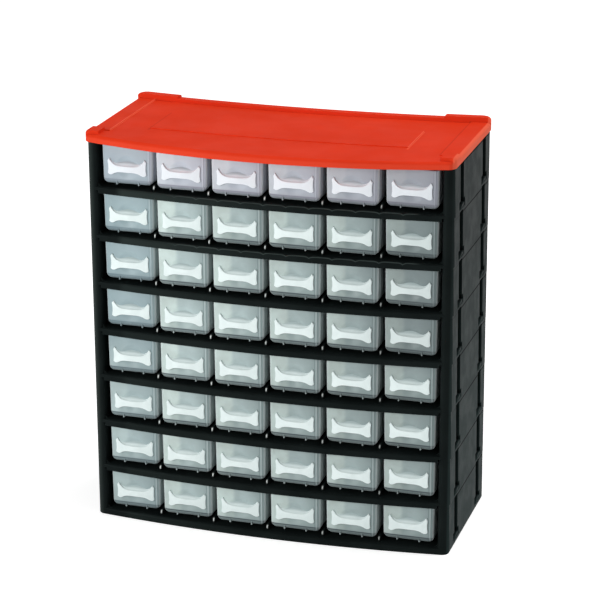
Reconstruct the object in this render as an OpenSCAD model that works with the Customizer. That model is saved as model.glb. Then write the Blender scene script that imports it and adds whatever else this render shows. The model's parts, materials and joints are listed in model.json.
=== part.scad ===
// Parts bin cabinet: a stack of bowed, interlocking tiers under a visor cover,
// with a row of loose drawers in every tier.
// Millimetres. X to the right, Y to the back, Z up. The front faces -Y.
// The origin is at the middle of the base.

/* [Cabinet] */
// Number of tiers stacked on each other
rows = 8; // [2:1:8]
// Number of drawers side by side in a tier
cols = 6; // [2:1:6]
// Width across the side walls
body_w = 381; // [340:1:420]
// Depth from a front corner to the back corner behind it
body_d = 163; // [155:1:190]
// How far the middle of the front and of the back stands ahead of the corners
bow = 13; // [8:0.5:16]
// Height from one tier to the next
pitch = 50.5; // [49:0.5:60]
// Radius of the upright outer corners
corner_r = 9; // [5:0.5:9.5]
// Radius of the lowest outer corners, seen from the front
foot_r = 2; // [1:0.5:8]

/* [Tier] */
// Height of the lip, from its lower edge to the top of the floor
lip_h = 7; // [6:0.5:9]
// Thickness of the lip
lip_t = 2.4; // [2:0.1:3]
// Rounding along the upper edge of the lip
lip_r = 1.9; // [1:0.1:1.9]
// How far the floor stands above the lip's shoulder
lip_step = 0.2; // [0.1:0.1:0.5]
// Thickness of the floor
floor_t = 2; // [1.5:0.1:3]
// How far the lip reaches down between the stiles of the tier below
overlap = 3.2; // [2:0.1:4]
// Width of a side column, seen from the front
col_w = 11.5; // [11:0.5:12.5]
// Thickness of the outer skin, the back wall and the deck of a column
skin_t = 2.4; // [2:0.1:2.6]
// Thickness of the wall on the drawer side of a column
guide_t = 2; // [1.6:0.1:2.2]
// How much narrower a side is at its top than at its foot
draft = 0.7; // [0.2:0.1:1]
// Rounding of a stile's inner upright edge
stile_r = 4; // [2:0.5:4]
// Fillet in the lower corners of the opening
open_r = 4.5; // [3:0.5:6]
// Height of the tongues that locate the next tier
tongue_h = 3; // [2:0.5:4]
// Clearance around a tongue and beside the lip
clear = 0.4; // [0.3:0.05:0.6]
// Room between a column and the share of the outermost drawer
side_room = 1.7; // [1:0.1:3]

/* [Guide ribs] */
// Thickness of the ribs between two drawers
rib_t = 2; // [1.5:0.1:2.6]
// Height of those ribs above the floor
rib_h = 6; // [4:0.5:7]
// How far a rib starts ahead of the drawer fronts
rib_ahead = 2.5; // [1:0.5:4]

/* [Side slots] */
// Place of the front slot, from the middle of the depth
slot_front = -47.5; // [-50:0.5:-46]
// Place of the back slot, from the middle of the depth
slot_back = 49; // [46:0.5:50]
// Width of a slot
slot_w = 14; // [12:0.5:16]
// Depth of a slot in the side
slot_d = 4.5; // [3.5:0.1:4.8]
// Height of the ledge that closes a slot at its foot
ledge_z = 5; // [4.6:0.1:5.6]
// How far the foot of a slot is wider on each side
foot_w = 5; // [3:0.5:6]
// Height of the wide foot of a slot
foot_h = 9; // [7:0.5:12]

/* [Drawer] */
// Clearance between a drawer and the next one beside it
side_gap = 5.1; // [4.2:0.1:12]
// Clearance between a drawer's upper edge and the lip above it
top_gap = 0.8; // [0.6:0.1:5]
// Clearance between a drawer and the back wall
back_gap = 3.2; // [1:0.1:15]
// Width lost between the upper edge and the bottom
drawer_taper = 2.5; // [1:0.5:4]
// Wall thickness of a drawer
wall = 1.5; // [1.2:0.1:2]
// Rounding of the lower corners, seen from the front
drawer_r = 5.5; // [4:0.5:8]
// Rounding of the front's lower edge, seen from the side
toe_r = 3; // [2:0.5:4]
// Rounding of the upright front corners
front_r = 3.5; // [2:0.5:5]
// How far the drawer fronts stand behind the lip
set_back = 8.4; // [7:0.1:10]
// Height of the two runners under a drawer
runner_h = 5.3; // [4:0.1:6]
// Thickness of a runner
runner_t = 3.5; // [2:0.1:4]
// Distance from the middle of the drawer to a runner
runner_x = 11.65; // [9:0.05:15]
// Distance from the drawer's front to the nose of a runner
runner_in = 8; // [5:0.5:20]

/* [Handle] */
// Length of the handle bar
bar_w = 39.6; // [34:0.2:42]
// Height of the bar at its ends
bar_h = 16.8; // [14:0.2:18]
// Height of the bar's lower edge above the bottom of the drawer
bar_z = 7.5; // [6:0.5:10]
// How far the bar stands out from the drawer front
bar_out = 4; // [3:0.1:5]
// Thickness of the bar
bar_t = 2.4; // [1.8:0.1:3]
// Width of the foot that joins each end of the bar to the front
bar_foot = 4.4; // [3:0.1:6]
// Radius of the finger dish behind the bar
dish_r = 16.5; // [13:0.5:17]
// Depth of the finger dish
dish_d = 3; // [2:0.1:4]

/* [Cover] */
// How far the cover's sides stand out past the columns
cover_out = 1; // [0.5:0.1:4]
// How far the visor reaches ahead of the front
visor = 19.5; // [12:0.5:22]
// How far the cover reaches past the back
cover_back = 1.5; // [0.5:0.5:3]
// How far the front corners of the cover stand behind the visor's middle
visor_bow = 29.6; // [24:0.2:36]
// Height of the cover at its panel and visor
cover_h = 7.6; // [7:0.1:12]
// Thickness of the cover
cover_t = 2.6; // [2.2:0.1:3]
// Radius of the cover's upright corners
cover_r = 10; // [8:0.5:12]
// Rounding along the cover's upper edge
edge_r = 3.5; // [2:0.5:4]
// Width of the raised borders along the cover's sides
border_w = 20.5; // [16:0.5:26]
// Height of those borders above the panel
border_h = 0.8; // [0.5:0.1:1.5]
// Width of the rim along the cover's back edge
rim_w = 12.5; // [9:0.5:16]
// Height of the rim and of the front corner pads above the panel
rim_h = 3.4; // [2:0.1:4]
// Height of the back corner pads above the panel
pad_h = 5.7; // [4.5:0.1:7]
// Length of the back pads along the back edge
pad_len = 47; // [35:1:55]
// How far the front pads stand behind the cover's front corners
pad_gap = 2; // [0:0.5:6]
// Width of the front pads
front_pad_w = 15; // [10:0.5:16]
// Length of the front pads
front_pad_l = 18; // [14:1:34]
// Thickness of the bearers on which the cover stands
bearer_t = 2; // [1.6:0.1:2.4]
// Distance from the cabinet's corners to the ends of the bearers
bearer_in = 8; // [6:0.5:20]
// Height of the raised plate in the middle of the panel
plate_h = 0.8; // [0.5:0.1:1.5]
// Width of that plate
plate_w = 270; // [200:1:290]
// Depth of that plate
plate_d = 70; // [50:1:90]
// Distance from the front of the visor to the plate
plate_in = 63; // [56:1:70]

/* [Hidden] */
$fa = 3;
$fs = 0.6;
big = 720;

black = [0.09, 0.11, 0.11];
clear_col = [0.78, 0.84, 0.84];
red = [0.85, 0.2, 0.1];

hw = body_w / 2;
arc_r = (hw * hw + bow * bow) / (2 * bow);
front_y = -body_d / 2 - bow;
back_y = body_d / 2 - bow;
inner_x = hw - col_w;
lip_x = inner_x - clear;
bay = 2 * (inner_x - side_room) / cols;
tier_h = pitch + overlap;
deck_z = rows * pitch + overlap;

cover_x = hw + cover_out;
cover_fy = front_y - visor;
cover_by = back_y + cover_back;
cover_rf = (cover_x * cover_x + visor_bow * visor_bow) / (2 * visor_bow);
cover_top = deck_z + cover_h;

// Size of a drawer: its share of the room in a tier, less its clearances
drawer_w = bay - side_gap;
drawer_h = pitch - lip_h - runner_h - top_gap;
drawer_l = body_d - set_back - skin_t - back_gap;
// Backmost point of the cover, and the shift that centres the whole in depth
cover_end = cover_by + arc_r + cover_r
    - sqrt(pow(arc_r + cover_r, 2) - pow(cover_x - cover_r, 2));
mid_y = -(cover_fy + cover_end) / 2;
// Roundings a little over size, so that they meet their faces at a slight angle
edge_meet = 1.02;
corner_meet = 1.01;
// How far shapes that are joined run into each other
join = 0.5;

tier_names = [for (t = [1 : rows]) str("tier_", t)];
drawer_names = [for (t = [1 : rows], c = [1 : cols]) str("drawer_", t, "_", c)];

// Where an arc of radius r whose foremost point is at y0 has reached at x
function arc_y(x, r, y0) = y0 + r - sqrt(r * r - x * x);
// Middle of drawer column c, counted from the left
function col_x(c) = (c - (cols + 1) / 2) * bay;
// Front plane of the drawer in column c
function drawer_y(c) = arc_y(col_x(c), arc_r, front_y) + set_back;

// Cuts the corner of a bowed outline down to a circle of radius r about p.
// c is the middle of the arc that the corner runs into, k is where the cut
// meets that arc as a share of the way from c to p.
module corner_cut(p, r, c, k, x1) {
    q = c + (p - c) * k;
    difference() {
        polygon([p, [x1, p[1]], [x1, q[1]], q]);
        translate(p) circle(r * corner_meet);
    }
}

// Outline of half-width x, with a front arc and a back arc given by their
// radii and foremost points, and corners of radius r
module bowed(x, rf, yf, rb, yb, r) {
    cf = [0, yf + rf];
    cb = [0, yb + rb];
    pf = [x - r, cf[1] - sqrt(pow(rf - r, 2) - pow(x - r, 2))];
    pb = [x - r, cb[1] - sqrt(pow(rb + r, 2) - pow(x - r, 2))];
    difference() {
        intersection() {
            translate([-x, yf - 1]) square([2 * x, 2 * body_d]);
            translate(cf) circle(rf, $fn = big);
        }
        translate(cb) circle(rb, $fn = big);
        for (m = [0, 1]) mirror([m, 0]) {
            corner_cut(pf, r, cf, (rf + 2) / (rf - r), x + 1);
            corner_cut(pb, r, cb, (rb - 2) / (rb + r), x + 1);
        }
    }
}

// Outline of the cabinet, moved inwards by i
module plan(i) {
    r = max(corner_r - i, 0.8);
    bowed(hw - i, arc_r - i, front_y + i, arc_r + i, back_y - i, r);
}

// The same outline inside one upright slice, from x0 to x1
module plan_slice(i, x0, x1) {
    intersection() {
        plan(i);
        translate([x0, front_y - 1]) square([x1 - x0, 2 * body_d]);
    }
}

// Band along the front, t thick, out to half-width x
module front_band(x, t) {
    intersection() {
        difference() {
            translate([0, front_y + arc_r]) circle(arc_r, $fn = big);
            translate([0, front_y + arc_r]) circle(arc_r - t, $fn = big);
        }
        translate([-x, front_y - 1]) square([2 * x, 3 * bow]);
    }
}

// Band along the back, from i to i + t inside it, out to half-width x
module back_band(x, i, t) {
    intersection() {
        difference() {
            translate([0, back_y + arc_r]) circle(arc_r + i + t, $fn = big);
            translate([0, back_y + arc_r]) circle(arc_r + i, $fn = big);
        }
        translate([-x, back_y - 3 * bow]) square([2 * x, 6 * bow]);
    }
}

// The floor's front edge turned down, with a rounded shoulder. Up to height cut
// it ends clear of the stiles of the tier below, above that it runs into its own.
module lip(cut) {
    end = inner_x + stile_r + 0.8;
    a = asin(end / arc_r);
    h = lip_h - lip_step;
    difference() {
        translate([0, front_y + arc_r])
            rotate([0, 0, -90 - a])
                rotate_extrude(angle = 2 * a, $fn = big)
                    translate([arc_r - lip_t, 0])
                        difference() {
                            square([lip_t, h]);
                            difference() {
                                translate([lip_t - lip_r, h - lip_r]) square([lip_r + 1, lip_r + 1]);
                                translate([lip_t - lip_r, h - lip_r]) circle(lip_r * edge_meet);
                            }
                        }
        if (cut > 0)
            for (m = [0, 1]) mirror([m, 0, 0])
                translate([lip_x, front_y - 1, -1])
                    cube([end, 3 * bow, cut + 1]);
    }
}

// Guide ribs that part the drawers, with a nose rounded both ways
module guide_ribs() {
    r = rib_h * 0.6;
    low = lip_h - join;
    for (c = [1 : cols - 1]) {
        x = (c - cols / 2) * bay;
        y0 = arc_y(x, arc_r, front_y) + set_back - rib_ahead;
        y1 = arc_y(x, arc_r, back_y) - skin_t / 2;
        intersection() {
            translate([x - rib_t, 0, 0])
                rotate([90, 0, 90])
                    linear_extrude(2 * rib_t) {
                        translate([y0 + r, low]) square([y1 - y0 - r, rib_h + join]);
                        translate([y0, low]) square([r, rib_h - r + join]);
                        translate([y0 + r, lip_h + rib_h - r]) circle(r);
                    }
            translate([x, 0, low - 1])
                linear_extrude(rib_h + 2) {
                    translate([-rib_t / 2, y0 + rib_t / 2]) square([rib_t, y1 - y0]);
                    translate([0, y0 + rib_t / 2]) circle(rib_t / 2);
                }
        }
    }
}

// Room of one side slot, with its wide foot and without the ramp in it
module slot_room(y) {
    x0 = hw - slot_d;
    difference() {
        union() {
            translate([x0, y - slot_w / 2, ledge_z])
                cube([slot_d + 1, slot_w, tier_h]);
            translate([x0, y - slot_w / 2 - foot_w, ledge_z])
                cube([slot_d + 1, slot_w + 2 * foot_w, foot_h]);
        }
        translate([x0 - 1, y, ledge_z])
            rotate([90, 0, 90])
                linear_extrude(slot_d + 0.4)
                    polygon([
                        [-slot_w / 2 + 2, -1],
                        [slot_w / 2 + foot_w + 1, -1],
                        [slot_w / 2 + foot_w + 1, foot_h * 0.4],
                        [slot_w / 2 - 1, foot_h * 0.4],
                        [-slot_w / 2 + 2, 0.2]
                    ]);
    }
}

// Walls around one side slot, inside the hollow of the column
module slot_jacket(y) {
    x0 = hw - slot_d - guide_t;
    translate([x0, y - slot_w / 2 - guide_t, overlap])
        cube([slot_d, slot_w + 2 * guide_t, pitch]);
    translate([x0, y - slot_w / 2 - foot_w - guide_t, overlap])
        cube([slot_d, slot_w + 2 * (foot_w + guide_t), ledge_z - overlap + foot_h + guide_t]);
}

// What the rounding takes off the inner upright edge of the right stile
module stile_cut() {
    c = [0, front_y + arc_r];
    p = [inner_x + stile_r, c[1] - sqrt(pow(arc_r - stile_r, 2) - pow(inner_x + stile_r, 2))];
    translate([0, 0, -1])
        linear_extrude(tier_h + 2)
            corner_cut(p, stile_r, c, (arc_r + 2) / (arc_r - stile_r), inner_x - 1);
}

// Right side column: a hollow box, open at its foot, with a deck on top
module column(z0) {
    difference() {
        union() {
            difference() {
                translate([0, 0, z0])
                    linear_extrude(tier_h - z0) plan_slice(0, inner_x, hw + 1);
                translate([0, 0, z0 - 1])
                    linear_extrude(tier_h - z0 - skin_t + 1)
                        plan_slice(skin_t, inner_x + guide_t, hw - skin_t);
            }
            for (y = [slot_front, slot_back]) slot_jacket(y);
        }
        for (y = [slot_front, slot_back]) slot_room(y);
        stile_cut();
    }
    for (span = [
        [-body_d / 2 + 5, slot_front - slot_w / 2 - foot_w - guide_t - 1],
        [slot_front + slot_w / 2 + foot_w + guide_t + 1, slot_back - slot_w / 2 - foot_w - guide_t - 1],
        [slot_back + slot_w / 2 + foot_w + guide_t + 1, body_d / 2 - 5.5]
    ])
        translate([inner_x + guide_t + clear, span[0], tier_h - join])
            cube([col_w - guide_t - skin_t - 2 * clear - draft / 2, span[1] - span[0], tongue_h + join]);
}

// Keeps the sides to their slight draft, and rounds the lowest corners
module side_limit(z0, r) {
    translate([0, 2 * body_d, 0])
        rotate([90, 0, 0])
            linear_extrude(4 * body_d)
                difference() {
                    polygon([
                        [-hw, z0], [hw, z0], [hw, overlap],
                        [hw - draft, tier_h], [hw - draft, tier_h + 9],
                        [draft - hw, tier_h + 9], [draft - hw, tier_h], [-hw, overlap]
                    ]);
                    if (r > 0)
                        for (m = [0, 1]) mirror([m, 0])
                            difference() {
                                translate([hw - r, z0 - 1]) square([r + 1, r + 1]);
                                translate([hw - r, z0 + r]) circle(r);
                            }
                }
}

// Concave fillets between the floor and the stiles
module opening_fillets() {
    intersection() {
        linear_extrude(pitch)
            difference() {
                front_band(inner_x + 2, stile_r + 1.6);
                front_band(inner_x + 3, stile_r - 0.6);
            }
        for (m = [0, 1]) mirror([m, 0, 0])
            translate([inner_x, front_y + 3 * bow, lip_h])
                rotate([90, 0, 0])
                    linear_extrude(4 * bow)
                        difference() {
                            translate([-open_r, -0.5]) square([open_r + 1, open_r + 0.5]);
                            translate([-open_r, open_r]) circle(open_r * edge_meet);
                        }
    }
}

// One tier: floor with lip, side columns, back wall and guide ribs.
// The lowest one stands on columns that reach down to the table.
module tier(t) {
    z0 = t == 1 ? 0 : overlap;
    color(black)
        translate([0, mid_y, (t - 1) * pitch]) {
            intersection() {
                union() {
                    lip(z0);
                    translate([0, 0, lip_h - floor_t])
                        linear_extrude(floor_t) plan_slice(lip_t * 0.9, -inner_x - 1, inner_x + 1);
                    translate([0, 0, overlap])
                        linear_extrude(pitch) back_band(inner_x + 1, 0, skin_t);
                    linear_extrude(lip_h - join)
                        back_band(lip_x, skin_t + clear, lip_t);
                    opening_fillets();
                    for (m = [0, 1]) mirror([m, 0, 0]) column(z0);
                }
                side_limit(z0 == 0 ? 0 : -1, z0 == 0 ? foot_r : 0);
            }
            guide_ribs();
        }
}

// Outline of a drawer from the front, from its bottom edge up, moved inwards by i
module drawer_face(i) {
    wt = drawer_w / 2 - i;
    wb = (drawer_w - drawer_taper) / 2 - i;
    r = max(drawer_r - i, 1);
    slope = drawer_taper / 2 / drawer_h;
    a = atan(slope);
    // The corner circle touches the bottom and the leaning side
    px = wb - (r / cos(a) - r * slope) + i * slope;
    difference() {
        polygon([[-wb, i], [wb, i], [wt, drawer_h + (i > 0 ? 1 : 0)], [-wt, drawer_h + (i > 0 ? 1 : 0)]]);
        for (m = [0, 1]) mirror([m, 0])
            difference() {
                polygon([
                    [px, i + r], [px, i - 1], [px + 3 * r, i - 1],
                    [px + 3 * r * cos(a), i + r - 3 * r * sin(a)]
                ]);
                translate([px, i + r]) circle(r);
            }
    }
}

// Outline of a drawer from above, moved inwards by i
module drawer_plan(i) {
    x = drawer_w / 2 - i;
    r = max(front_r - i, 1);
    translate([-x, i + r]) square([2 * x, drawer_l - 2 * i - r]);
    translate([-x + r, i]) square([2 * (x - r), r + 1]);
    for (m = [-1, 1]) translate([m * (x - r), i + r]) circle(r);
}

// Outline of a drawer from the side, moved inwards by i, with Y to the right
module drawer_side(i) {
    r = max(toe_r - i, 1);
    translate([i + r, i]) square([drawer_l - 2 * i - r, drawer_h + 2]);
    translate([i, i + r]) square([r + 1, drawer_h]);
    translate([i + r, i + r]) circle(r);
}

// Solid of a drawer's outline, moved inwards by i
module drawer_block(i) {
    intersection() {
        translate([-drawer_w, 0, 0])
            rotate([90, 0, 90]) linear_extrude(2 * drawer_w) drawer_side(i);
        translate([0, drawer_l, 0])
            rotate([90, 0, 0]) linear_extrude(drawer_l) drawer_face(i);
        translate([0, 0, -1]) linear_extrude(drawer_h + 3) drawer_plan(i);
    }
}

// Bow-tie outline of the handle bar, from the front
module bar_face() {
    tip = 2.3;
    top_r = 29;
    low_r = 27;
    top_dip = 5.5;
    low_dip = 3.6;
    difference() {
        polygon([
            [-bar_w / 2 + 0.8, 0], [bar_w / 2 - 0.8, 0], [bar_w / 2, 2],
            [bar_w / 2, bar_h - 4.8], [bar_w / 2 - tip, bar_h],
            [-bar_w / 2 + tip, bar_h], [-bar_w / 2, bar_h - 4.8], [-bar_w / 2, 2]
        ]);
        translate([0, bar_h - top_dip + top_r]) circle(top_r);
        translate([0, low_dip - low_r]) circle(low_r);
    }
}

// One drawer in its own frame: middle of the front's lower edge at the origin
module drawer_shape() {
    cap_r = (dish_r * dish_r + dish_d * dish_d) / (2 * dish_d);
    cap_z = bar_z + bar_h / 2;
    difference() {
        union() {
            difference() {
                drawer_block(0);
                drawer_block(wall);
            }
            // Back of the finger dish, kept to the wall thickness
            intersection() {
                translate([0, dish_d - cap_r, cap_z]) sphere(cap_r + wall);
                translate([-drawer_w / 2 + 5, wall / 2, wall / 2])
                    cube([drawer_w - 10, 3 * dish_d, drawer_h - wall]);
            }
        }
        translate([0, dish_d - cap_r, cap_z]) sphere(cap_r);
    }
    // Handle bar across the dish, joined to the front at both ends
    translate([0, 0, bar_z])
        rotate([90, 0, 0]) {
            translate([0, 0, bar_out - bar_t]) linear_extrude(bar_t) bar_face();
            translate([0, 0, -wall / 2])
                linear_extrude(bar_out + wall / 2 - 0.5)
                    intersection() {
                        bar_face();
                        union() {
                            for (m = [-1, 1])
                                translate([m * bar_w / 2 - bar_foot, -1]) square([2 * bar_foot, bar_h + 2]);
                        }
                    }
        }
    // Two runners that carry the drawer on the floor
    for (m = [-1, 1])
        translate([m * runner_x - runner_t / 2, runner_in, -runner_h])
            cube([runner_t, drawer_l - runner_in - wall, runner_h + wall / 2]);
}

module drawer(t, c) {
    color(clear_col)
        translate([col_x(c), mid_y + drawer_y(c), (t - 1) * pitch + lip_h + runner_h])
            drawer_shape();
}

// Outline of the cover, moved inwards by i
module cover_plan(i) {
    bowed(cover_x - i, cover_rf - i, cover_fy + i, arc_r + i, cover_by - i, max(cover_r - i, 1));
}

// What a rounding of edge_r takes off the outline, in a radial section whose
// edge is at the origin and whose body is on the -X side
module edge_section() {
    difference() {
        translate([-edge_r, -edge_r]) square([edge_r + 1, edge_r + 1]);
        translate([-edge_r, -edge_r]) circle(edge_r * edge_meet);
    }
}

// Everything that the rounding takes off the upper edge of the cover at height z.
// The cuts round the corners lap over the ones along the edges by a few degrees.
module edge_cut(z) {
    lap = 3;
    x = cover_x;
    r = cover_r;
    cf = cover_fy + cover_rf;
    cb = cover_by + arc_r;
    pf = cf - sqrt(pow(cover_rf - r, 2) - pow(x - r, 2));
    pb = cb - sqrt(pow(arc_r + r, 2) - pow(x - r, 2));
    af = asin((x - r) / (cover_rf - r));
    ab = asin((x - r) / (arc_r + r));
    translate([0, 0, z]) {
        translate([0, cf])
            rotate([0, 0, -90 - af])
                rotate_extrude(angle = 2 * af, $fn = big)
                    translate([cover_rf, 0]) edge_section();
        translate([0, cb])
            rotate([0, 0, -90 - ab])
                rotate_extrude(angle = 2 * ab, $fn = big)
                    translate([arc_r, 0]) mirror([1, 0]) edge_section();
        for (m = [0, 1]) mirror([m, 0, 0]) {
            translate([x, pb, 0])
                rotate([90, 0, 0]) linear_extrude(pb - pf) edge_section();
            translate([x - r, pf])
                rotate([0, 0, -90 + af - lap])
                    rotate_extrude(angle = 90 - af + 2 * lap)
                        translate([r + 0.05, 0]) edge_section();
            translate([x - r, pb])
                rotate([0, 0, -lap])
                    rotate_extrude(angle = 90 + ab + 2 * lap)
                        translate([r + 0.05, 0]) edge_section();
        }
    }
}

// Piece of the cover's edge, seen from above as in its children, up to height z
module raised(z) {
    difference() {
        translate([0, 0, cover_top - edge_r - 0.6])
            linear_extrude(z - cover_top + edge_r + 0.6)
                intersection() {
                    cover_plan(0);
                    children();
                }
        edge_cut(z);
    }
}

// Strip along the cover's back edge, from x0 outwards on both sides
module rim_plan(x0) {
    intersection() {
        translate([0, cover_by + arc_r]) circle(arc_r + rim_w, $fn = big);
        for (m = [0, 1]) mirror([m, 0])
            translate([x0, 0]) square([cover_x - x0 + 1, body_d]);
    }
}

// Cover: a shell with a visor, seated on the decks of the top tier
module cover() {
    pad_front = cover_fy + visor_bow + pad_gap;
    color(red) translate([0, mid_y, 0]) {
        difference() {
            union() {
                difference() {
                    translate([0, 0, deck_z]) linear_extrude(cover_h) cover_plan(0);
                    edge_cut(cover_top);
                }
                // Borders along the sides
                raised(cover_top + border_h)
                    for (m = [0, 1]) mirror([m, 0])
                        translate([cover_x - border_w, pad_front + front_pad_l - 1])
                            square([border_w + 1, body_d]);
                // Rim along the back, and pads on the corners
                raised(cover_top + rim_h) rim_plan(-1);
                raised(cover_top + pad_h) rim_plan(cover_x - pad_len);
                raised(cover_top + rim_h)
                    for (m = [0, 1]) mirror([m, 0])
                        translate([cover_x - front_pad_w, pad_front])
                            square([front_pad_w + 1, front_pad_l]);
            }
            translate([0, 0, deck_z - 1])
                linear_extrude(cover_h + 1 - cover_t) cover_plan(cover_t);
        }
        // Raised plate, left empty
        translate([0, 0, cover_top - join]) linear_extrude(plate_h + join) plate_plan();
        // Rib that hooks in behind the back wall of the top tier
        translate([0, 0, deck_z - overlap])
            linear_extrude(overlap + cover_h - cover_t + join)
                back_band(lip_x, skin_t + clear, lip_t);
        // Bearers that stand on the decks
        for (m = [0, 1]) mirror([m, 0, 0])
            translate([hw - skin_t - draft, bearer_in - body_d / 2, deck_z])
                cube([bearer_t, body_d - 2 * bearer_in, cover_h - cover_t + join]);
    }
}

// The plate from above: its front edge follows the visor's bow
module plate_plan() {
    y0 = cover_fy + plate_in;
    r = plate_w * plate_w / 8 / 6;
    intersection() {
        translate([-plate_w / 2, y0 - 1]) square([plate_w, plate_d + 1]);
        translate([0, y0 + r]) circle(r, $fn = big);
    }
}

for (t = [1 : rows])
    tier(t);
cover();
for (t = [1 : rows], c = [1 : cols])
    drawer(t, c);
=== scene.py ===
import json
import math

import bmesh
import bpy
from mathutils import Matrix, Vector


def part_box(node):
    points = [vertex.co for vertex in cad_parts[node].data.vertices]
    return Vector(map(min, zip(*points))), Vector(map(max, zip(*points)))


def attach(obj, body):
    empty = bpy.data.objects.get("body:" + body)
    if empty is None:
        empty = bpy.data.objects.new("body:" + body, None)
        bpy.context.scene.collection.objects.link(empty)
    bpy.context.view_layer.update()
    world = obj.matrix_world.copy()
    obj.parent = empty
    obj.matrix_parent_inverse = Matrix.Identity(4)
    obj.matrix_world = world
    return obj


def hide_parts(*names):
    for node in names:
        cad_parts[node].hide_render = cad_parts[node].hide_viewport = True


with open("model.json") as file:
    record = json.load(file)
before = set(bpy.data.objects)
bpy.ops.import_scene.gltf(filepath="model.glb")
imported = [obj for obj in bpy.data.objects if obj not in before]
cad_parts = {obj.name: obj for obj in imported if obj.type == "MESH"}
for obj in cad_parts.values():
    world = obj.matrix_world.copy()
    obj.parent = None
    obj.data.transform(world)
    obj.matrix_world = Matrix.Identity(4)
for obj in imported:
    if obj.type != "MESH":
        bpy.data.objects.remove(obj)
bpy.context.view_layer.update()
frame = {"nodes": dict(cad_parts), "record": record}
scene = bpy.context.scene

# ---------------------------------------------------------------- camera
# The eye stands to the right of the front and looks down on it a little, from
# far off and with a long lens.
cam_data = bpy.data.cameras.new("camera")
cam_data.sensor_width = 36.0
cam_data.lens = 143.75
cam_data.clip_start = 0.1
cam_data.clip_end = 50.0
camera = bpy.data.objects.new("camera", cam_data)
scene.collection.objects.link(camera)
right = Vector((0.95666, 0.29120, -0.00325)).normalized()
up = Vector((-0.09090, 0.30922, 0.94664)).normalized()
back = right.cross(up).normalized()
up = back.cross(right)
# Its place is counted from the middle of the lowest tier's front lip.
lip_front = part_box("tier_1")[0].y
eye = Vector((0.69675, lip_front - 2.15520, 1.03120))
camera.matrix_world = Matrix((
    (right.x, up.x, back.x, eye.x),
    (right.y, up.y, back.y, eye.y),
    (right.z, up.z, back.z, eye.z),
    (0.0, 0.0, 0.0, 1.0),
))
scene.camera = camera


# ---------------------------------------------------------------- tiers
# Eight mouldings in black polypropylene, stacked by tongues, of which the
# lowest stands on the table. The tool leaves a fine satin grain and a slight
# unevenness on the broad faces.
def new_material(name, color, roughness, specular):
    """A plain plastic shader, to which each finish adds its own grain."""
    mat = bpy.data.materials.new(name)
    mat.use_nodes = True
    tree = mat.node_tree
    shader = tree.nodes["Principled BSDF"]
    shader.inputs["Base Color"].default_value = (*color, 1.0)
    shader.inputs["Roughness"].default_value = roughness
    shader.inputs["IOR"].default_value = 1.49
    shader.inputs["Specular IOR Level"].default_value = specular
    return mat, tree, shader


def noise(tree, scale, detail=3.0):
    """Noise on the piece's own coordinates."""
    coords = tree.nodes.new("ShaderNodeTexCoord")
    field = tree.nodes.new("ShaderNodeTexNoise")
    field.inputs["Scale"].default_value = scale
    field.inputs["Detail"].default_value = detail
    tree.links.new(coords.outputs["Object"], field.inputs["Vector"])
    return field.outputs["Fac"]


def spread(tree, source, low, high, start=0.3, end=0.7):
    """Moves a field that runs from start to end into low to high."""
    ramp = tree.nodes.new("ShaderNodeMapRange")
    ramp.interpolation_type = "SMOOTHSTEP"
    ramp.inputs["From Min"].default_value = start
    ramp.inputs["From Max"].default_value = end
    ramp.inputs["To Min"].default_value = low
    ramp.inputs["To Max"].default_value = high
    tree.links.new(source, ramp.inputs["Value"])
    return ramp.outputs["Result"]


def grain(tree, shader, scale, depth):
    """Fine moulded grain as bump, depth in metres."""
    bump = tree.nodes.new("ShaderNodeBump")
    bump.inputs["Strength"].default_value = 0.35
    bump.inputs["Distance"].default_value = depth
    tree.links.new(noise(tree, scale), bump.inputs["Height"])
    tree.links.new(bump.outputs["Normal"], shader.inputs["Normal"])


def blended(tree, factor, first, second):
    """A colour between two others, each a triple or a socket, by a factor."""
    mix = tree.nodes.new("ShaderNodeMix")
    mix.data_type = "RGBA"
    tree.links.new(factor, mix.inputs[0])
    for source, socket in ((first, mix.inputs[6]), (second, mix.inputs[7])):
        if isinstance(source, tuple):
            socket.default_value = (*source, 1.0)
        else:
            tree.links.new(source, socket)
    return mix.outputs[2]


def combined(tree, operation, first, second=0.0):
    """One or two numbers worked on, each a value or a socket."""
    sum_node = tree.nodes.new("ShaderNodeMath")
    sum_node.operation = operation
    for source, socket in ((first, sum_node.inputs[0]), (second, sum_node.inputs[1])):
        if isinstance(source, (int, float)):
            socket.default_value = source
        else:
            tree.links.new(source, socket)
    return sum_node.outputs["Value"]


def product(tree, *parts):
    """Where several masks overlap."""
    total = parts[0]
    for part in parts[1:]:
        total = combined(tree, "MULTIPLY", total, part)
    return total


def distance(tree, source, place=0.0):
    """How far a number is from a place, on either side."""
    return combined(tree, "ABSOLUTE", combined(tree, "SUBTRACT", source, place))


def radius(tree, first, second):
    """The distance of a point from a middle, by its two offsets."""
    squares = [combined(tree, "MULTIPLY", part, part) for part in (first, second)]
    return combined(tree, "SQRT", combined(tree, "ADD", *squares))


def window(tree, source, rise, fall):
    """One between a rise and a fall, each given by its start and end."""
    return product(tree, spread(tree, source, 0.0, 1.0, *rise), spread(tree, source, 1.0, 0.0, *fall))


def band(tree, source, low, high, soft=0.0005):
    """One between two places along an axis, with soft ends."""
    return window(tree, source, (low - soft, low + soft), (high - soft, high + soft))


def strip(tree, source, place, reach):
    """One on a line across an axis, falling to zero beside it."""
    return spread(tree, distance(tree, source, place), 1.0, 0.0, reach * 0.4, reach)


def own_axes(tree):
    """The piece's own X, Y and Z as sockets."""
    coords = tree.nodes.new("ShaderNodeTexCoord")
    axes = tree.nodes.new("ShaderNodeSeparateXYZ")
    tree.links.new(coords.outputs["Object"], axes.inputs[0])
    return axes.outputs


def dress(name, material):
    """Gives a CAD node its finish."""
    slots = frame["nodes"][name].data.materials
    slots.clear()
    slots.append(material)


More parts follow.
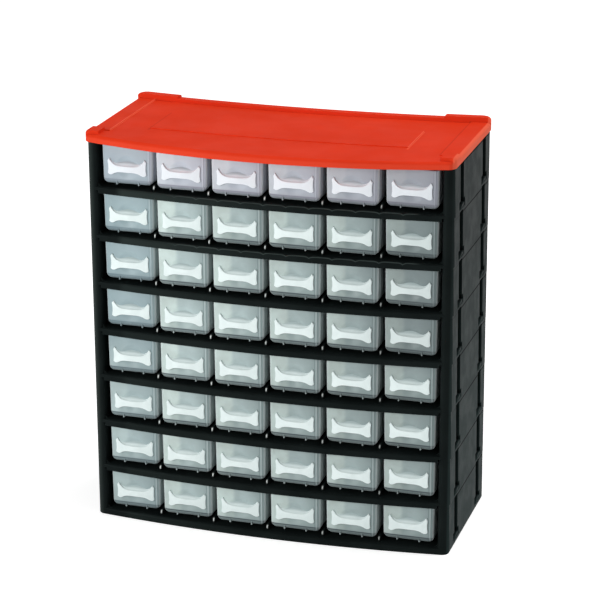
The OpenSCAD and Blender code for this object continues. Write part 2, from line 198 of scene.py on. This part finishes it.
tiers = 8
bays = 6
half_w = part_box("tier_2")[1].x
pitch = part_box("tier_3")[0].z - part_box("tier_2")[0].z
bay_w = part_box("drawer_1_2")[0].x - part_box("drawer_1_1")[0].x
bow = 0.013
front_r = (half_w ** 2 + bow ** 2) / (2 * bow)
nose_r = front_r - 0.0059
nose_low = 0.0091
nose_high = 0.0120
dip_gap = 0.0235
dip_h = 0.0014

black, tree, shader = new_material("black_plastic", (0.006, 0.008, 0.008), 0.42, 0.026)
shader.inputs["Specular Tint"].default_value = (0.80, 0.98, 0.97, 1.0)
cloud = spread(tree, noise(tree, 26.0), 0.0, 1.0)
color = blended(tree, cloud, (0.0052, 0.0074, 0.0073), (0.0080, 0.0110, 0.0108))
axes = own_axes(tree)
sideways = distance(tree, axes["X"])
level = combined(tree, "MODULO", axes["Z"], pitch)
# The front is an arc, and reach counts from its middle. The ribs between the drawers all end at one
# reach, and a highlight is painted on their noses, fainter to the right. across counts from the
# middle of each drawer, so that a rib stands at half a bay.
reach = radius(tree, axes["X"], combined(tree, "SUBTRACT", axes["Y"], lip_front + front_r))
inner_width = spread(tree, sideways, 1.0, 0.0, 0.150, 0.160)
across = combined(tree, "MODULO", combined(tree, "ADD", axes["X"], (bays + 1) / 2 * bay_w), bay_w)
nose_highlight = product(
    tree,
    window(tree, reach, (nose_r - 0.004, nose_r - 0.002), (nose_r - 0.0002, nose_r + 0.0012)),
    band(tree, level, nose_low, nose_high, 0.0008),
    inner_width,
    strip(tree, across, bay_w / 2, 0.0010),
    spread(tree, axes["X"], 1.0, 0.45, -0.05, 0.15),
)
# The lips get a painted sheen, most at the upper left where the light falls on them, and so does the
# outer edge of the left column.
lip_sheen = product(
    tree,
    spread(tree, reach, 0.0, 1.0, front_r - 0.0035, front_r - 0.0015),
    spread(tree, axes["Z"], 0.3, 1.0, 0.20, 0.36),
    spread(tree, axes["X"], 1.0, 0.0, -0.18, 0.06),
    inner_width,
)
outer_sheen = product(
    tree,
    spread(tree, axes["X"], 0.8, 0.0, 0.0030 - half_w, 0.0090 - half_w),
    spread(tree, axes["Y"], 1.0, 0.0, lip_front + 0.02, lip_front + 0.03),
)
color = blended(tree, combined(tree, "MAXIMUM", lip_sheen, outer_sheen), color, (0.022, 0.030, 0.028))
# A thin painted highlight with small dips runs along the top edge of the upper lips.
swing = combined(tree, "SINE", combined(tree, "MULTIPLY", axes["X"], math.pi / dip_gap))
dip = combined(tree, "POWER", combined(tree, "SUBTRACT", 1.0, distance(tree, swing)), 4.0)
lip_edge_highlight = product(
    tree,
    window(tree, combined(tree, "ADD", level, combined(tree, "MULTIPLY", dip, dip_h)),
           (0.0056, 0.0061), (0.0065, 0.0069)),
    inner_width,
    spread(tree, reach, 0.0, 1.0, front_r - 0.0030, front_r - 0.0020),
    spread(tree, axes["Z"], 0.0, 0.7, 0.29, 0.31),
    spread(tree, axes["X"], 0.0, 1.0, -0.11, -0.08),
)
color = blended(tree, lip_edge_highlight, color, (0.060, 0.078, 0.074))
# The sides are coarser and get a painted teal-grey sheen that fades towards the top. The joints
# between tiers are dark.
side = spread(tree, sideways, 0.0, 1.0, half_w - 0.0030, half_w - 0.0015)
joint = product(
    tree,
    spread(tree, distance(tree, level, pitch / 2), 0.0, 1.0, pitch / 2 - 0.0010, pitch / 2 - 0.0005),
    side,
    spread(tree, axes["Y"], 0.15, 0.8, lip_front + 0.045, lip_front + 0.055),
)
side_sheen = product(tree, side, spread(tree, axes["Z"], 1.0, 0.3, 0.08, 0.38))
color = blended(tree, side_sheen, color, (0.0160, 0.0260, 0.0255))
color = blended(tree, joint, color, (0.001, 0.001, 0.001))
# Painted highlight on the rib noses.
color = blended(tree, nose_highlight, color, (0.62, 0.66, 0.64))
tree.links.new(color, shader.inputs["Base Color"])
coarse = combined(tree, "ADD", spread(tree, noise(tree, 60.0), 0.36, 0.46), product(tree, side, 0.11))
coarse = combined(tree, "ADD", coarse, product(tree, joint, 0.30))
tree.links.new(coarse, shader.inputs["Roughness"])
grain(tree, shader, 1500.0, 0.00006)
for tier in range(1, tiers + 1):
    dress(f"tier_{tier}", black)

# ---------------------------------------------------------------- cover
# One red shell with a visor, moulded in polypropylene and pressed down over
# the deck of the top tier. Its faces carry the same fine grain as the tiers.
cover_low, cover_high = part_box("cover")
border_x = cover_high.x - 0.0205
plate_x = 0.135
plate_front = cover_low.y + 0.063
plate_back = plate_front + 0.069
line_w = 0.0014
red, tree, shader = new_material("red_plastic", (0.70, 0.040, 0.013), 0.5, 0.008)
cloud = spread(tree, noise(tree, 18.0), 0.0, 1.0)
color = blended(tree, cloud, (0.67, 0.036, 0.0105), (0.72, 0.042, 0.014))
axes = own_axes(tree)
# Steps that face right get a painted highlight, and those that face left a painted shade line.
# Neither line runs over the raised pads in the corners.
along = band(tree, axes["Y"], cover_low.y + 0.050, cover_high.y - 0.013)
beside = band(tree, axes["Y"], plate_front, plate_back)
under = spread(tree, axes["Z"], 1.0, 0.0, cover_high.z - 0.0047, cover_high.z - 0.0043)
pale = combined(tree, "MAXIMUM", product(tree, strip(tree, axes["X"], -border_x, line_w), along),
                product(tree, strip(tree, axes["X"], plate_x, line_w), beside))
step_shade = combined(tree, "MAXIMUM", product(tree, strip(tree, axes["X"], border_x, line_w), along),
                product(tree, strip(tree, axes["X"], -plate_x, line_w), beside))
# Painted highlight on the steps that face right.
color = blended(tree, product(tree, pale, under, 0.8), color, (0.84, 0.12, 0.06))
# The rim catches light all round, and most along the right side.
edge = spread(tree, axes["Z"], 0.38, 0.0, cover_high.z - 0.0095, cover_high.z - 0.0070)
color = blended(tree, edge, color, (0.80, 0.085, 0.042))
# Painted shade on the steps that face left.
color = blended(tree, product(tree, step_shade, under, 0.4), color, (0.38, 0.015, 0.006))
rim = product(
    tree,
    spread(tree, axes["X"], 0.0, 0.7, cover_high.x - 0.0036, cover_high.x - 0.0020),
    spread(tree, axes["Y"], 0.0, 1.0, cover_low.y + 0.018, cover_low.y + 0.034),
)
color = blended(tree, rim, color, (0.90, 0.16, 0.085))
tree.links.new(color, shader.inputs["Base Color"])
tree.links.new(spread(tree, noise(tree, 40.0), 0.45, 0.55), shader.inputs["Roughness"])
grain(tree, shader, 1200.0, 0.00005)
dress("cover", red)


# ---------------------------------------------------------------- drawers
# Forty-eight loose trays in natural polypropylene, milky and thin-walled.
# Each has a shallow finger dish in its front, a bow-tie grip across the dish
# and two runners with sledge noses under its floor.
def select(kind, test):
    """Selects the vertices, edges or faces of the piece in edit mode by a test."""
    bpy.ops.mesh.select_mode(type=kind)
    bpy.ops.mesh.select_all(action="DESELECT")
    mesh = bpy.context.object.data
    bm = bmesh.from_edit_mesh(mesh)
    for item in {"VERT": bm.verts, "EDGE": bm.edges, "FACE": bm.faces}[kind]:
        if test(item):
            item.select_set(True)
    bm.select_flush_mode()
    bmesh.update_edit_mesh(mesh)


def centre(edge):
    """Middle of an edge."""
    return (edge.verts[0].co + edge.verts[1].co) / 2


def only(piece):
    """Makes one object the selected and active one."""
    bpy.ops.object.select_all(action="DESELECT")
    piece.select_set(True)
    bpy.context.view_layer.objects.active = piece


def block(low, high):
    """A cuboid between two corners, left in edit mode."""
    bpy.ops.object.select_all(action="DESELECT")
    middle = [(a + b) / 2 for a, b in zip(low, high)]
    bpy.ops.mesh.primitive_cube_add(size=1.0, location=middle)
    bpy.context.object.scale = [b - a for a, b in zip(low, high)]
    bpy.ops.object.transform_apply(location=True, rotation=True, scale=True)
    bpy.ops.object.mode_set(mode="EDIT")
    return bpy.context.object


# The tray's measures come from its CAD node. Here the middle of the front's
# lower edge is at zero.
bar_out = 0.004
runner_h = 0.0053
low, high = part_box("drawer_1_1")
width = high.x - low.x
length = high.y - low.y - bar_out
height = high.z - low.z - runner_h
taper = 0.0012
wall = 0.0015
drop = 0.0020
belly_r = 0.0055
corner_r = 0.003
step = 0.0004
near_zero = 1e-5

# The tray itself: a tapered box without a top, rounded below and in front.
tray = block((-width / 2, 0.0, -drop), (width / 2, length, height))
select("FACE", lambda f: f.normal.z < -0.9)
bpy.ops.transform.resize(value=((width - taper) / width, 1.0, 1.0))
select("FACE", lambda f: f.normal.z > 0.9)
bpy.ops.mesh.delete(type="ONLY_FACE")
select("EDGE", lambda e: centre(e).z < 0.001 - drop and abs(centre(e).x) > 0.01)
bpy.ops.mesh.bevel(offset=belly_r, segments=6, affect="EDGES")
select("EDGE", lambda e: centre(e).y < 0.0001 and centre(e).z < height - 0.001)
bpy.ops.mesh.bevel(offset=corner_r, segments=5, affect="EDGES")

# The front's flat stands out a little, with a small step around it.
select("FACE", lambda f: f.normal.y < -0.999)
bpy.ops.mesh.inset(thickness=step, depth=step)
select("FACE", lambda f: f.normal.y < -0.999)
bpy.ops.mesh.delete(type="ONLY_FACE")
bpy.ops.object.mode_set(mode="OBJECT")

# The finger dish: a disc let in ring by ring, which takes the flat's middle.
# Its rim runs out softly into the flat.
dish_r = 0.0132
dish_d = 0.0032
dish_z = 0.0156
rings = 10
bpy.ops.object.select_all(action="DESELECT")
bpy.ops.mesh.primitive_circle_add(
    vertices=64, radius=dish_r, fill_type="NGON", location=(0.0, -step, dish_z),
    rotation=(math.pi / 2, 0.0, 0.0),
)
bpy.ops.object.transform_apply(location=True, rotation=True, scale=True)
bpy.ops.object.mode_set(mode="EDIT")
bpy.ops.mesh.select_all(action="SELECT")
depth = 0.0
for ring in range(1, rings + 1):
    share = 1 - ring / (rings + 1)
    next_depth = dish_d * (1 - share ** 2) ** 1.6
    bpy.ops.mesh.inset(thickness=dish_r / (rings + 1), depth=depth - next_depth)
    depth = next_depth
bpy.ops.mesh.poke()
bpy.ops.object.mode_set(mode="OBJECT")
tray.select_set(True)
bpy.context.view_layer.objects.active = tray
bpy.ops.object.join()
bpy.ops.object.mode_set(mode="EDIT")
select("EDGE", lambda e: max(abs(v.co.y + step) for v in e.verts) < near_zero)
bpy.ops.mesh.fill(use_beauty=True)
bpy.ops.mesh.select_all(action="SELECT")
bpy.ops.mesh.remove_doubles(threshold=1e-6)
bpy.ops.mesh.normals_make_consistent(inside=False)
bpy.ops.object.mode_set(mode="OBJECT")
skin = tray.modifiers.new("wall", "SOLIDIFY")
skin.thickness = wall
skin.offset = -1.0
skin.use_even_offset = True
bpy.ops.object.modifier_apply(modifier=skin.name)

# The bow-tie grip: a sheet of columns and rows, pulled to its two curves and
# thickened. Its ends stand on the front on feet. Its upper third runs back into
# the front as a hollow slope, and below that the finger reaches in.
bar_w = 0.0414
bar_h = 0.0170
bar_z = 0.0078
bar_t = 0.0024
top_dip = 0.0076
low_dip = 0.0034
arch = 0.0160
waist = 0.0006
bend = 0.0022
edge_r = 0.0004
# Its two end columns are cut shorter, below and above, and the top edge has its
# full height from this share of the half width on.
cut_low = 0.0012
cut_top = 0.0026
flare = 0.909
columns = 22
rows = 3
foot_x = bar_w / 2 - 2.4 * bar_w / columns
parked = -0.1


def curve(x, column):
    """Lower and upper edge of the grip at x, where a column of points stands."""
    end = column in (0, columns)
    low = bar_z + low_dip * max(0.0, 1 - (x / arch) ** 4) + (cut_low if end else 0.0)
    share = 1.0 if end else min(1.0, abs(2 * x / bar_w) / flare)
    top = bar_z + bar_h - top_dip * (1 - share ** 5) - (cut_top if end else 0.0)
    return low, top


def near(v, x, y, z):
    """Whether a point is at a place."""
    return (v.co - Vector((x, y, z))).length < near_zero


def upper(v):
    """Whether a point lies above the middle of the grip."""
    return v.co.z > sum(curve(v.co.x, 1)) / 2 + 0.0005


# The sheet stands aside while its points are pulled, so that none is met twice.
bpy.ops.object.select_all(action="DESELECT")
bpy.ops.mesh.primitive_grid_add(
    x_subdivisions=columns, y_subdivisions=rows, size=1.0, rotation=(math.pi / 2, 0.0, 0.0),
)
bar = bpy.context.object
bar.scale = (bar_w, bar_h, 1.0)
bpy.ops.object.transform_apply(location=True, rotation=True, scale=True)
bpy.ops.object.mode_set(mode="EDIT")
bpy.ops.mesh.select_all(action="SELECT")
bpy.ops.transform.translate(value=(0.0, parked, 0.0))
for column in range(columns + 1):
    x = bar_w * (column / columns - 0.5)
    low_z, top_z = curve(x, column)
    for row in range(rows + 1):
        z = bar_h * (row / rows - 0.5)
        inwards = math.copysign(waist, -x) if column in (0, columns) and 0 < row < rows else 0.0
        upwards = low_z + (top_z - low_z) * row / rows - z
        select("VERT", lambda v: near(v, x, parked, z))
        bpy.ops.transform.translate(value=(inwards, -parked - bar_out, upwards))
bpy.ops.mesh.select_all(action="SELECT")
bpy.ops.mesh.extrude_region_move(TRANSFORM_OT_translate={"value": (0.0, bar_t, 0.0)})

# The back goes on in short steps at the feet and the upper third. Each step
# raises the slope's top edge, and the last one pushes the slope into the dish.
back_y = bar_t - bar_out
layers = [-bar_out, back_y]
raised = 0.0
for deeper, rise, push in (
    (0.0, 0.0010, 0.0),
    (0.0007, 0.0008, 0.0),
    (0.0006, 0.0012, 0.0),
    (0.0006, 0.0018, 0.0014),
):
    if deeper:
        select("FACE", lambda f: all(abs(v.co.y - back_y) < near_zero for v in f.verts)
               and (abs(f.calc_center_median().x) > foot_x or all(upper(v) for v in f.verts)))
        bpy.ops.mesh.extrude_region_move(TRANSFORM_OT_translate={"value": (0.0, deeper, 0.0)})
        back_y += deeper
        layers.append(back_y)
    for column in range(1, columns):
        x = bar_w * (column / columns - 0.5)
        share = 1 - (2 * x / bar_w) ** 2
        select("VERT", lambda v: near(v, x, back_y, curve(x, column)[1] + raised * share))
        bpy.ops.transform.translate(value=(0.0, push * share, rise * share))
        if push and abs(x) < foot_x:
            select("VERT", lambda v: abs(v.co.x - x) < near_zero
                   and abs(v.co.y - back_y) < near_zero and upper(v))
            bpy.ops.transform.translate(value=(0.0, push * share, 0.0))
    raised += rise

# The grip's ends bend back towards the front, the deepest layer first. What
# touches the front stays where it is.
beside_column = waist + 0.0002
for column in range(columns + 1):
    x = bar_w * (column / columns - 0.5)
    way = bend * abs(2 * x / bar_w) ** 1.6
    for layer in reversed(layers[:-1]):
        select("VERT", lambda v: abs(v.co.x - x) < beside_column and abs(v.co.y - layer) < near_zero)
        bpy.ops.transform.translate(value=(0.0, way * (back_y - layer) / (back_y + bar_out), 0.0))
bpy.ops.mesh.select_all(action="SELECT")
bpy.ops.mesh.normals_make_consistent(inside=False)
select("EDGE", lambda e: e.calc_face_angle(0.0) > math.radians(40)
       and max(v.co.y for v in e.verts) < layers[1] - 0.0001)
bpy.ops.mesh.bevel(offset=edge_r, segments=2, affect="EDGES")
bpy.ops.object.mode_set(mode="OBJECT")

# Two runners, whose noses rise to the front, and a nub on the toe before each.
runner_x = 0.01165
runner_t = 0.0035
runner_y = 0.004
nose_l = 0.016
nub_t = 0.0015
nub_h = 0.0009
nub_out = 0.0007
nub_back = 0.0070
nub_top = 0.0012
small = []
for hand in (-1, 1):
    x = hand * runner_x
    small.append(block((x - runner_t / 2, runner_y, -runner_h),
                       (x + runner_t / 2, length - wall, -drop / 2)))
    select("VERT", lambda v: v.co.y < 0.01 and v.co.z < -drop)
    bpy.ops.transform.translate(value=(0.0, nose_l, 0.0))
    select("EDGE", lambda e: centre(e).z < -drop and abs(centre(e).x - x) > runner_t / 4)
    bpy.ops.mesh.bevel(offset=edge_r, segments=2, affect="EDGES")
    bpy.ops.object.mode_set(mode="OBJECT")
    small.append(block((x - nub_t / 2, -nub_out, -drop - nub_h), (x + nub_t / 2, nub_back, nub_top)))
    select("EDGE", lambda e: centre(e).y < 0.0 or centre(e).z < 0.0001 - drop - nub_h)
    bpy.ops.mesh.bevel(offset=0.0007, segments=3, affect="EDGES")
    bpy.ops.object.mode_set(mode="OBJECT")
only(tray)
for piece in small:
    piece.select_set(True)
bpy.ops.object.join()


# Both plastics of the tray read each point's place in the tray's own frame, so
# that the look keeps to the tray, and the tray's place in the cabinet.
def tray_axes(tree):
    """X, Y and Z in the tray's own frame as sockets."""
    place = tree.nodes.new("ShaderNodeAttribute")
    place.attribute_name = "tray_place"
    split = tree.nodes.new("ShaderNodeSeparateXYZ")
    tree.links.new(place.outputs["Vector"], split.inputs[0])
    return split.outputs


def dusk(tree, where, most):
    """The share of dark in the trays at the upper right, where less light gets in."""
    return product(
        tree,
        spread(tree, where["X"], 0.0, most, 0.04, 0.16),
        spread(tree, where["Z"], 0.0, 1.0, 0.17, 0.23),
        spread(tree, where["Z"], 1.0, 0.3, 0.33, 0.38),
    )


milky, tree, shader = new_material("milky_plastic", (0.55, 0.60, 0.60), 0.42, 0.25)
x, y, z = tray_axes(tree)
where = own_axes(tree)
haze = spread(tree, noise(tree, 70.0, 4.0), 0.0, 1.0, 0.35, 0.68)
inside = blended(tree, haze, (0.42, 0.50, 0.50), (0.50, 0.57, 0.56))
# The front is brightest at the left, where light gets in behind it past the
# neighbour. A soft step ends that band, and the right side falls off.
bright = blended(tree, haze, (0.55, 0.65, 0.62), (0.62, 0.74, 0.71))
dull = blended(tree, haze, (0.43, 0.53, 0.53), (0.48, 0.59, 0.59))
clear = combined(tree, "MAXIMUM", spread(tree, where["X"], 0.0, 1.0, -0.122, -0.116),
                 spread(tree, where["Z"], 0.55, 0.1, 0.17, 0.22))
lit = product(tree, spread(tree, x, 1.0, 0.0, -0.0095, -0.0045), clear)
front = blended(tree, lit, dull, bright)
front = blended(tree, spread(tree, x, 0.0, 1.0, 0.002, 0.030), front, (0.30, 0.38, 0.38))
# Below the grip the front is darker with a painted shadow. A dark line parts its flat from the
# rounded edge, and the edge ends pale.
grip_shadow = product(tree, spread(tree, z, 1.0, 0.0, 0.010, 0.014),
                 spread(tree, distance(tree, x), 1.0, 0.0, 0.014, 0.020), 0.5)
front = blended(tree, grip_shadow, front, (0.30, 0.38, 0.37))
toe = product(tree, spread(tree, z, 1.0, 0.0, 0.0014, 0.0024), 0.75)
front = blended(tree, toe, front, (0.22, 0.28, 0.29))
front = blended(tree, strip(tree, z, 0.0024, 0.0010), front, (0.10, 0.13, 0.14))
front = blended(tree, spread(tree, z, 1.0, 0.0, -0.0012, -0.0006), front, (0.62, 0.72, 0.72))
# Two dark lines and a pale one stand along the right edge of the flat.
for line in (0.0212, 0.0243):
    faint = product(tree, strip(tree, x, line, 0.0008), 0.35)
    front = blended(tree, faint, front, (0.12, 0.16, 0.17))
front = blended(tree, product(tree, strip(tree, x, 0.0228, 0.0010), 0.5), front, (0.56, 0.66, 0.66))
color = blended(tree, spread(tree, y, 0.0, 1.0, 0.0028, 0.0040), front, inside)
# The leftmost column is bluer in its lower half. The top row has a lilac cast.
blue = product(tree, spread(tree, where["X"], 1.0, 0.0, -0.128, -0.120),
               spread(tree, where["Z"], 0.25, 0.65, 0.14, 0.22))
cold = blended(tree, spread(tree, x, 0.0, 1.0, -0.022, 0.0), (0.20, 0.29, 0.33), (0.28, 0.38, 0.42))
color = blended(tree, blue, color, cold)
color = blended(tree, dusk(tree, where, 0.45), color, (0.16, 0.20, 0.21))
lilac = product(tree, spread(tree, where["Z"], 0.0, 0.5, 0.36, 0.37),
                spread(tree, where["X"], 0.45, 1.0, -0.128, -0.120))
color = blended(tree, lilac, color, (0.60, 0.58, 0.71))
# Painted shade: the row as a whole gets darker to the right, away from the light. The toe of each
# front is darker too, and a slow noise varies the tone.
shade = product(
    tree,
    spread(tree, where["X"], 1.0, 0.70, -0.12, 0.18),
    spread(tree, z, 0.8, 1.0, -0.001, 0.0055),
    spread(tree, noise(tree, 9.0, 1.0), 0.86, 1.0),
)
color = blended(tree, shade, (0.0, 0.0, 0.0), color)
# The guides for dividers show through the side walls as fine upright lines.
guide_gap = 0.0075
waves = combined(tree, "SINE", combined(tree, "MULTIPLY", y, 2 * math.pi / guide_gap))
lines = product(tree, spread(tree, waves, 0.0, 0.6, 0.2, 0.9),
                spread(tree, distance(tree, x), 0.0, 1.0, 0.0235, 0.0255))
color = blended(tree, lines, color, (0.66, 0.72, 0.72))
tree.links.new(color, shader.inputs["Base Color"])
tree.links.new(spread(tree, noise(tree, 200.0), 0.38, 0.48), shader.inputs["Roughness"])
grain(tree, shader, 900.0, 0.00004)

# The grip is thicker and whiter. The slope behind it fades into the front.
white, tree, shader = new_material("bar_plastic", (0.76, 0.86, 0.85), 0.4, 0.15)
x, y, z = tray_axes(tree)
where = own_axes(tree)
cloud = spread(tree, noise(tree, 90.0), 0.0, 1.0)
color = blended(tree, cloud, (0.75, 0.85, 0.84), (0.80, 0.90, 0.89))
top_row = spread(tree, where["Z"], 0.0, 0.5, 0.36, 0.37)
color = blended(tree, top_row, color, (0.82, 0.82, 0.92))
color = blended(tree, dusk(tree, where, 0.25), color, (0.30, 0.34, 0.34))
into = blended(tree, top_row, (0.44, 0.53, 0.53), (0.42, 0.46, 0.54))
slope = product(tree, spread(tree, y, 0.0, 1.0, -0.0018, 0.0006),
                spread(tree, distance(tree, x), 1.0, 0.0, 0.0100, 0.0150))
color = blended(tree, slope, color, into)
tree.links.new(color, shader.inputs["Base Color"])
grain(tree, shader, 900.0, 0.00003)

# Tray and grip are moulded in one. The places are stored before the tray is
# copied into the bays.
tray.data.materials.append(milky)
bar.data.materials.append(white)
only(tray)
bar.select_set(True)
bpy.ops.object.join()
only(tray)
bpy.ops.object.shade_smooth_by_angle(angle=math.radians(28))
even = tray.modifiers.new("even", "WEIGHTED_NORMAL")
even.keep_sharp = True
bpy.ops.object.modifier_apply(modifier=even.name)
own = tray.data.attributes.new("tray_place", "FLOAT_VECTOR", "POINT")
for vertex, item in zip(tray.data.vertices, own.data):
    item.vector = vertex.co

bodies = frame["record"]["behaviour"]["bodies"]
body_of = {node: body for body, nodes in bodies.items() for node in nodes}
for tier in range(1, tiers + 1):
    for bay in range(1, bays + 1):
        name = f"drawer_{tier}_{bay}"
        low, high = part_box(name)
        mesh = tray.data.copy()
        mesh.transform(Matrix.Translation(((low.x + high.x) / 2, low.y + bar_out, low.z + runner_h)))
        piece = bpy.data.objects.new(f"tray_{tier}_{bay}", mesh)
        scene.collection.objects.link(piece)
        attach(piece, body_of[name])
        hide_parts(name)
bpy.data.objects.remove(tray)

# ---------------------------------------------------------------- studio
# A white floor that keeps the cabinet's soft shadow, a dim white room, and
# softboxes at the upper left, overhead and at the right.
bpy.ops.object.select_all(action="DESELECT")
bpy.ops.mesh.primitive_plane_add(size=30.0, location=(0.0, 0.0, -0.0003))
floor = bpy.context.object
floor.name = "floor"
pale, tree, shader = new_material("floor_white", (0.8, 0.8, 0.8), 0.9, 0.1)


def background_rays(tree):
    """One for rays from the camera, reflected or let through, otherwise zero."""
    path = tree.nodes.new("ShaderNodeLightPath")
    total = path.outputs["Is Camera Ray"]
    for ray in ("Is Glossy Ray", "Is Transmission Ray"):
        total = combined(tree, "MAXIMUM", total, path.outputs[ray])
    return total


# The lamps fade with distance, so the floor's own white grows there.
axes = own_axes(tree)
away = spread(tree, radius(tree, axes["X"], axes["Y"]), 0.6, 0.75, 0.4, 1.0)
glow = tree.nodes.new("ShaderNodeEmission")
tree.links.new(product(tree, background_rays(tree), away), glow.inputs["Strength"])
both = tree.nodes.new("ShaderNodeAddShader")
tree.links.new(shader.outputs["BSDF"], both.inputs[0])
tree.links.new(glow.outputs["Emission"], both.inputs[1])
tree.links.new(both.outputs["Shader"], tree.nodes["Material Output"].inputs["Surface"])
floor.data.materials.append(pale)

world = bpy.data.worlds.new("studio")
world.use_nodes = True
scene.world = world
tree = world.node_tree
room = tree.nodes["Background"]
room.inputs["Color"].default_value = (1.0, 1.0, 1.0, 1.0)
room.inputs["Strength"].default_value = 0.38
plain = tree.nodes.new("ShaderNodeBackground")
plain.inputs["Strength"].default_value = 1.0
plain.inputs["Color"].default_value = (1.0, 1.0, 1.0, 1.0)
mix = tree.nodes.new("ShaderNodeMixShader")
tree.links.new(background_rays(tree), mix.inputs[0])
tree.links.new(room.outputs["Background"], mix.inputs[1])
tree.links.new(plain.outputs["Background"], mix.inputs[2])
tree.links.new(mix.outputs["Shader"], tree.nodes["World Output"].inputs["Surface"])


def softbox(name, place, width, height, power):
    """A rectangular lamp at a place, turned to the middle of the cabinet."""
    data = bpy.data.lights.new(name, "AREA")
    data.shape = "RECTANGLE"
    data.size = width
    data.size_y = height
    data.energy = power
    lamp = bpy.data.objects.new(name, data)
    scene.collection.objects.link(lamp)
    lamp.location = place
    way = Vector((0.0, 0.0, 0.2)) - Vector(place)
    lamp.rotation_euler = way.to_track_quat("-Z", "Y").to_euler()


softbox("key", (-1.1, -1.9, 0.80), 0.7, 0.7, 29.0)
softbox("top", (0.7, 0.7, 2.1), 1.2, 1.0, 23.5)
softbox("right", (2.2, -0.2, 1.3), 1.0, 1.4, 4.0)

scene.view_settings.view_transform = "Standard"
